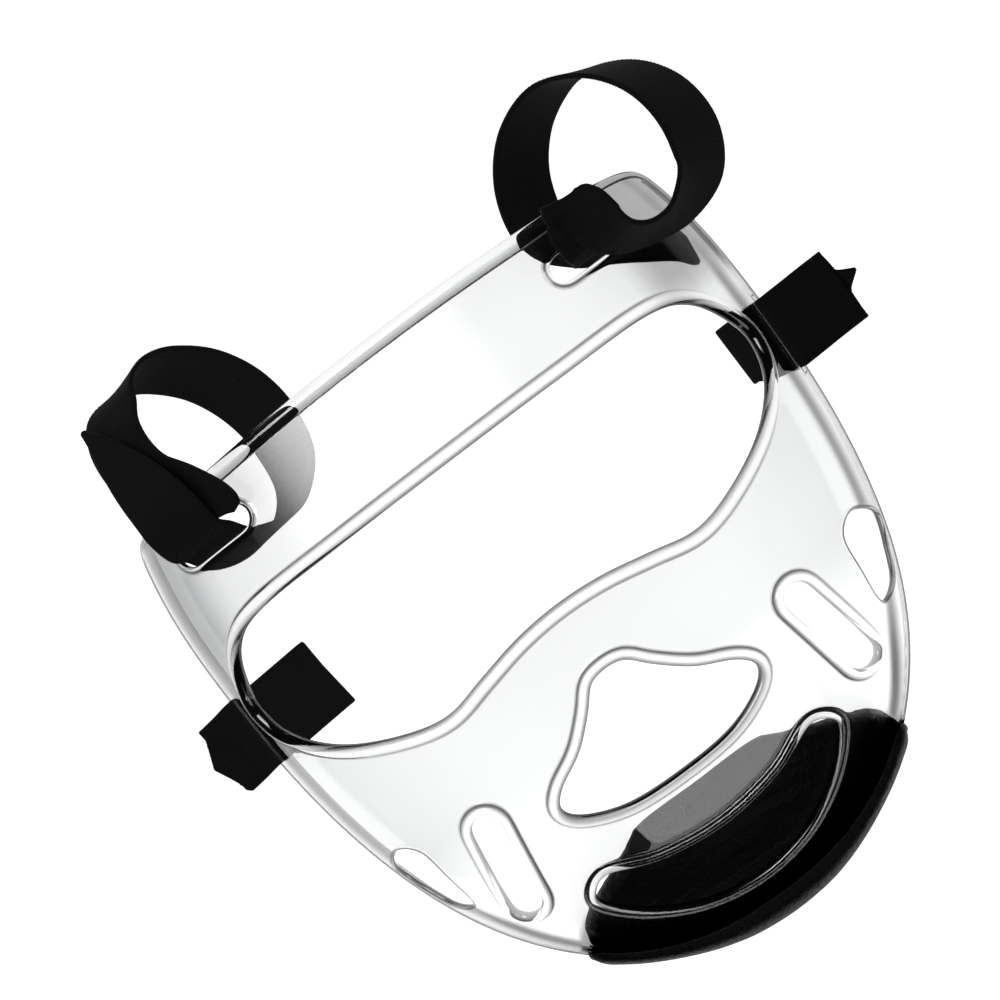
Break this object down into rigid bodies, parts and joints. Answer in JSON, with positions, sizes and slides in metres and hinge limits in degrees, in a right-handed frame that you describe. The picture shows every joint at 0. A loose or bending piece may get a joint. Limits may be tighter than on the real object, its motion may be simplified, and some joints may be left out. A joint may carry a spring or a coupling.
{
  "type": "face shield",
  "caption": "Clear moulded face shield for contact sport, with rolled edges, eye and mouth openings, side vents, a padded chin cup and black webbing straps that hold it on a head guard.",
  "frame": {"origin": "middle of the chin pad's flat resting face, on the shield's centre line", "axes": "+Z out of the front of the shield, +Y towards its top edge, +X towards the right of someone looking at the front"},
  "size_m": [0.2559, 0.2568, 0.0669],
  "materials": {
    "clear_plastic": "clear gloss",
    "black_padding": "grained",
    "black_webbing": "woven"
  },
  "bodies": {
    "root": {"shield_shell": "clear_plastic", "chin_pad": "black_padding", "top_left_strap": "black_webbing", "top_right_strap": "black_webbing", "left_side_strap": "black_webbing", "right_side_strap": "black_webbing"}
  },
  "joints": []
}
